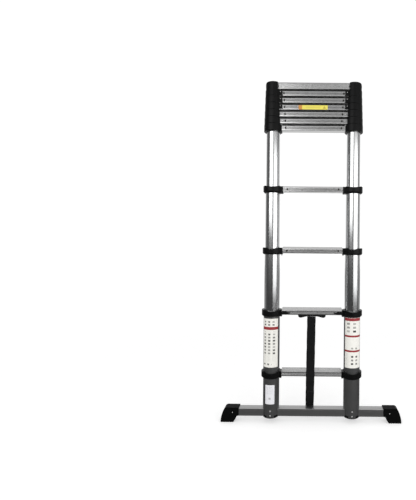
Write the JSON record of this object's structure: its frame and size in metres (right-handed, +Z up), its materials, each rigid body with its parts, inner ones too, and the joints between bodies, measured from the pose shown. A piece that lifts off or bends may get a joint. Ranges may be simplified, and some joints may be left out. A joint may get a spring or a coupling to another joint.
{
  "type": "telescoping ladder",
  "caption": "Telescoping ladder with nested tubes, collared rungs, thumb levers, a webbing strap and a wide base bar, standing partly pulled out.",
  "frame": {"origin": "on the floor, midway between the two feet", "axes": "+Z up along the tubes, +X to the right seen from the front, +Y from the climber's side to the wall side"},
  "size_m": [0.8696, 0.096, 1.6373],
  "materials": {
    "outer_tube": "dark grey satin coating",
    "bright_tube": "satin drawn and anodised",
    "rung": "ribbed extrusion, satin",
    "base_bar": "mill satin",
    "collar": "black glass-filled nylon, satin",
    "lever": "black nylon, satin",
    "bracket": "black nylon",
    "foot": "black rubber, matte",
    "webbing": "black woven webbing"
  },
  "bodies": {
    "root": {"outer_tube_left": "outer_tube", "outer_tube_right": "outer_tube", "base_bar": "base_bar", "foot_left": "foot", "foot_right": "foot", "strap_bracket": "bracket", "strap": "webbing", "rung_01": "rung", "rung_02": "rung", "collar_01_left": "collar", "collar_01_right": "collar", "collar_02_left": "collar", "collar_02_right": "collar"},
    "section_03": {"rung_03": "rung", "slide_tube_03_left": "bright_tube", "collar_03_left": "collar", "slide_tube_03_right": "bright_tube", "collar_03_right": "collar"},
    "section_04": {"rung_04": "rung", "slide_tube_04_left": "bright_tube", "collar_04_left": "collar", "slide_tube_04_right": "bright_tube", "collar_04_right": "collar"},
    "section_05": {"rung_05": "rung", "slide_tube_05_left": "bright_tube", "collar_05_left": "collar", "slide_tube_05_right": "bright_tube", "collar_05_right": "collar"},
    "section_06": {"rung_06": "rung", "slide_tube_06_left": "bright_tube", "collar_06_left": "collar", "slide_tube_06_right": "bright_tube", "collar_06_right": "collar"},
    "section_07": {"rung_07": "rung", "slide_tube_07_left": "bright_tube", "collar_07_left": "collar", "slide_tube_07_right": "bright_tube", "collar_07_right": "collar"},
    "section_08": {"rung_08": "rung", "slide_tube_08_left": "bright_tube", "collar_08_left": "collar", "slide_tube_08_right": "bright_tube", "collar_08_right": "collar"},
    "section_09": {"rung_09": "rung", "slide_tube_09_left": "bright_tube", "collar_09_left": "collar", "slide_tube_09_right": "bright_tube", "collar_09_right": "collar"},
    "section_10": {"rung_10": "rung", "slide_tube_10_left": "bright_tube", "collar_10_left": "collar", "slide_tube_10_right": "bright_tube", "collar_10_right": "collar"},
    "section_11": {"rung_11": "rung", "slide_tube_11_left": "bright_tube", "top_cap_left": "collar", "slide_tube_11_right": "bright_tube", "top_cap_right": "collar"},
    "lever_left": {"release_lever_left": "lever"},
    "lever_right": {"release_lever_right": "lever"}
  },
  "joints": [
    {"name": "slide_03", "type": "slide", "parent": "root", "child": "section_03", "axis": [0, 0, 1], "range_m": [-0.2627, 0]},
    {"name": "slide_04", "type": "slide", "parent": "section_03", "child": "section_04", "axis": [0, 0, 1], "range_m": [-0.2627, 0]},
    {"name": "slide_05", "type": "slide", "parent": "section_04", "child": "section_05", "axis": [0, 0, 1], "range_m": [-0.2627, 0]},
    {"name": "slide_06", "type": "slide", "parent": "section_05", "child": "section_06", "axis": [0, 0, 1], "range_m": [0, 0.2627]},
    {"name": "slide_07", "type": "slide", "parent": "section_06", "child": "section_07", "axis": [0, 0, 1], "range_m": [0, 0.2627]},
    {"name": "slide_08", "type": "slide", "parent": "section_07", "child": "section_08", "axis": [0, 0, 1], "range_m": [0, 0.2627]},
    {"name": "slide_09", "type": "slide", "parent": "section_08", "child": "section_09", "axis": [0, 0, 1], "range_m": [0, 0.2627]},
    {"name": "slide_10", "type": "slide", "parent": "section_09", "child": "section_10", "axis": [0, 0, 1], "range_m": [0, 0.2627]},
    {"name": "slide_11", "type": "slide", "parent": "section_10", "child": "section_11", "axis": [0, 0, 1], "range_m": [0, 0.2627]},
    {"name": "release_left", "type": "slide", "parent": "root", "child": "lever_left", "axis": [1, 0, 0], "range_m": [0, 0.009], "stiffness_N_per_m": 400, "springref_m": -0.004},
    {"name": "release_right", "type": "slide", "parent": "root", "child": "lever_right", "axis": [-1, 0, 0], "range_m": [0, 0.009], "stiffness_N_per_m": 400, "springref_m": -0.004}
  ]
}
